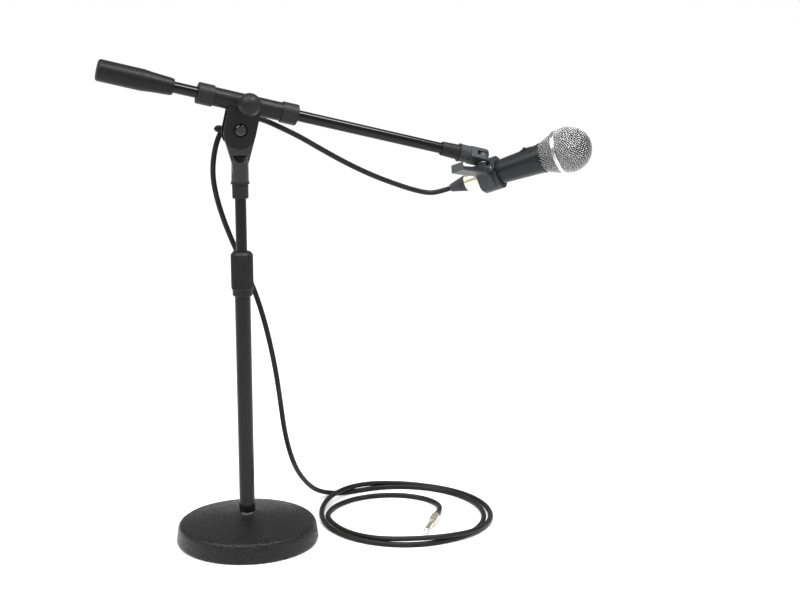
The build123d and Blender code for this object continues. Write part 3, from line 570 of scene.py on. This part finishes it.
# ---- wing nut: two dished wings on a round hub ----
def wing_nut():
    """Half a wing's outline is swung to both sides of the hub and swelled towards the tip."""
    back_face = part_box("wing_nut")[1][1]
    hub = Vector(joints["wing_turn"]["pos_m"])
    level, back, up = Vector((1, 0, 0)), Vector((0, 1, 0)), Vector((0, 0, 1))
    reach = 23.5 * MM
    rows_per_wing, sides = 15, 20
    mesh = bmesh.new()
    for side in (-1, 1):
        rows = []
        for i in range(rows_per_wing):
            along = reach * i / (rows_per_wing - 1)
            swell = 1 - 0.25 * math.sin(math.pi * min(1, i / 11))
            tip = math.sqrt(max(0.0, 1 - max(0, (i - 10) / 4.02) ** 2))
            half_wide = 4.2 * MM * swell * tip
            half_deep = 4.6 * MM * swell * tip
            middle = Vector((hub.x, back_face - 5.2 * MM, hub.z)) + level * along * side
            ring = []
            for k in range(sides):
                turn = 2 * math.pi * k / sides
                c, s = math.cos(turn), math.sin(turn)
                squared = (abs(c) ** 3 + abs(s) ** 3) ** (-1 / 3)
                spoke = (up * half_wide * c + back * half_deep * s) * squared
                ring.append(mesh.verts.new(middle + spoke))
            rows.append(ring)
        for a, b in zip(rows, rows[1:]):
            for k in range(sides):
                j = (k + 1) % sides
                mesh.faces.new((a[k], a[j], b[j], b[k]))
        mesh.faces.new(rows[-1])
    data = bpy.data.meshes.new("wing_nut_wings")
    bmesh.ops.recalc_face_normals(mesh, faces=mesh.faces)
    mesh.to_mesh(data)
    mesh.free()
    data.shade_smooth()
    wings = add("wing_nut_wings", data)
    hub_profile = [(3.1, 11), (4.9, 11), (5.2, 11.3), (5.2, 21), (6.6, 24), (6.9, 27), (6.6, 31.5)]
    hub_profile += [(6.0, 32.6), (5.2, 33), (3.4, 33)]
    hub_piece = lathe("wing_nut_hub", hub_profile, Vector((hub.x, 0, hub.z)), back, 48)
    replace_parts(wings, "wing_nut")
    for piece in (wings, hub_piece):
        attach(piece, "wing")
        made_of(piece, "matte_black_plastic")


wing_nut()

# ---- woven wire grille ----
PITCH = 2.4  # wire to wire
WIRE_R = 0.33
DOME_FOOT = 88.6  # where the dome rises from the band, along the microphone
BALL_T = 97.5  # centre of the ball, along the microphone
BALL_R = 27.0
CONE = ((17.4, 65.3), (24.8, 84.0))  # (radius, distance) at its two ends
weave_r = BALL_R - 2 * WIRE_R


def mic_point(radius, along, azimuth):
    spoke = jaw_out * math.cos(azimuth) + jaw_down * math.sin(azimuth)
    return mic_zero + mic_dir * along * MM + spoke * radius * MM


def on_dome(reach, azimuth):
    """Point and outward normal of the ball, a flat sheet's radius away from its pole."""
    angle = reach / weave_r
    normal = mic_dir * math.cos(angle)
    normal += (jaw_out * math.cos(azimuth) + jaw_down * math.sin(azimuth)) * math.sin(angle)
    return mic_point(0, BALL_T, 0) + normal * weave_r * MM, normal


def on_cone(reach, azimuth):
    """Point and outward normal of the cone, the sheet's radius measured from the collar's own."""
    (r0, t0), (r1, t1) = CONE
    slope = math.hypot(r1 - r0, t1 - t0)
    share = (reach - r0) / slope
    spoke = jaw_out * math.cos(azimuth) + jaw_down * math.sin(azimuth)
    normal = spoke * (t1 - t0) / slope - mic_dir * (r1 - r0) / slope
    radius = r0 - 2 * WIRE_R + (r1 - r0) * share
    return mic_point(radius, t0 + (t1 - t0) * share, azimuth), normal


def weave(name, surface, inner, outer):
    """Plain woven square mesh between two radii of the flat sheet, formed onto a surface."""
    paths = []
    count = int(outer / PITCH)
    step = PITCH / 4
    for family in (0, 1):
        for wire in range(-count, count + 1):
            fixed = wire * PITCH
            far = math.sqrt(max(0.0, outer**2 - fixed**2))
            near = math.sqrt(inner**2 - fixed**2) if abs(fixed) < inner else 0.0
            spans = [(-far, -near), (near, far)] if near else [(-far, far)]
            for first, last in spans:
                if last - first < PITCH:
                    continue
                points, ups = [], []
                for moving in np.arange(first, last + step / 2, step):
                    u, v = (fixed, moving) if family == 0 else (moving, fixed)
                    place, normal = surface(math.hypot(u, v), math.atan2(v, u) + math.radians(20))
                    lift = math.cos(math.pi * (moving / PITCH + wire)) * (1 if family == 0 else -1)
                    points.append(place + normal * lift * WIRE_R * 0.92 * MM)
                    ups.append(normal)
                paths.append((points, ups))
    mesh = tubes(name, paths, WIRE_R * MM, 6)
    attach(mesh, "mic")
    made_of(mesh, "grille_wire")
    return mesh


(cone_r0, cone_t0), (cone_r1, cone_t1) = CONE
dome_reach = weave_r * (math.pi - math.acos((BALL_T - DOME_FOOT) / BALL_R))
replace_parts(weave("grille_dome_weave", on_dome, 0.0, dome_reach), "grille_dome")
cone_reach = cone_r0 + math.hypot(cone_r1 - cone_r0, cone_t1 - cone_t0)
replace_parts(weave("grille_cone_weave", on_cone, cone_r0, cone_reach), "grille_cone")


def foam_lining():
    """Open-cell foam close under the wire, over the ball and down the cone."""
    radius = BALL_R - 4 * WIRE_R - 0.35
    profile = [(0.01, BALL_T + radius)]
    for k in range(1, 40):
        angle = math.radians(107) * k / 39
        profile.append((radius * math.sin(angle), BALL_T + radius * math.cos(angle)))
    profile += [(cone_r1 - 2, cone_t1), (cone_r0 - 1.7, cone_t0 + 0.2), (6.0, cone_t0 + 0.2)]
    lining = lathe("foam_lining", profile, mic_zero, mic_dir, 120)
    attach(lining, "mic")
    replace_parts(lining, "foam_liner")
    made_of(lining, "foam")


foam_lining()


# ---- small fittings ----
def screw_thread(name, radius, start, stop, pitch, body, steps=36):
    """A helical ridge on an upright bolt at the origin, where it shows between two pieces."""
    axis = Vector((0, 0, 1))
    side = axis.orthogonal().normalized()
    other = axis.cross(side)
    turns = (stop - start) / pitch
    points, ups = [], []
    for k in range(int(turns * steps) + 1):
        turn = 2 * math.pi * k / steps
        spoke = side * math.cos(turn) + other * math.sin(turn)
        points.append(axis * (start + pitch * k / steps) * MM + spoke * radius * MM)
        ups.append(spoke)
    ridge = tubes(name, [(points, ups)], pitch * 0.38 * MM, 6)
    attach(ridge, body)
    made_of(ridge, "zinc_steel")


screw_thread("stud_thread", 6.0, 31.8, 35.3, 0.9, "stand")

# ---- floor ----
FLOOR = 12.0  # half its width, in metres
floor_mesh = bpy.data.meshes.new("floor")
corners = [(x * FLOOR, y * FLOOR, 0) for x, y in ((-1, -1), (1, -1), (1, 1), (-1, 1))]
floor_mesh.from_pydata(corners, [], [(0, 1, 2, 3)])
floor = add("floor", floor_mesh)
floor_paint = Shader("floor_paint", (0.86, 0.86, 0.86), 0.75)
floor_paint.vary_roughness(floor_paint.noise(0.3, 2), 0.7, 0.8)
floor_mesh.materials.append(floor_paint.material)

measured(flex)
